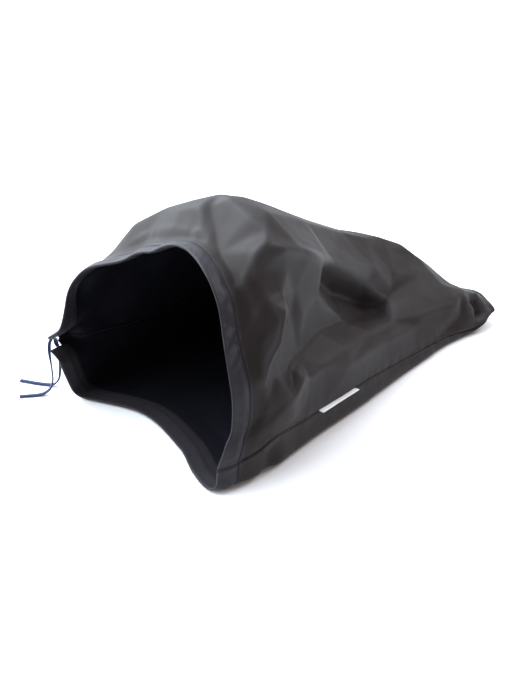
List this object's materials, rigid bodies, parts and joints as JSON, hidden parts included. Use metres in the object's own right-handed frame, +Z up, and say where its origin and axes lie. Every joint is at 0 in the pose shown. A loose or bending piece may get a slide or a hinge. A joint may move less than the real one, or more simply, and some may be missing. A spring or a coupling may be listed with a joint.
{
  "type": "helmet bag",
  "caption": "Drawstring helmet bag of coated nylon, lying on its side with its mouth held open and the drawcord's free ends hanging from the casing.",
  "frame": {"origin": "on the surface that the bag lies on, under the middle of the bag's box without the free cord ends", "axes": "+Z up, +Y from the mouth towards the closed end, +X towards the side seam with the label"},
  "size_m": [0.3327, 0.51, 0.2365],
  "materials": {
    "bag_cloth": "coated nylon, satin",
    "casing_cloth": "coated nylon, satin",
    "drawcord": "flat braid, matte",
    "label": "woven tape, matte"
  },
  "bodies": {
    "root": {"upper_panel": "bag_cloth", "lower_panel": "bag_cloth", "mouth_casing": "casing_cloth", "drawcord_loop": "drawcord", "drawcord_end_upper": "drawcord", "drawcord_end_lower": "drawcord", "label_tab": "label"}
  },
  "joints": []
}
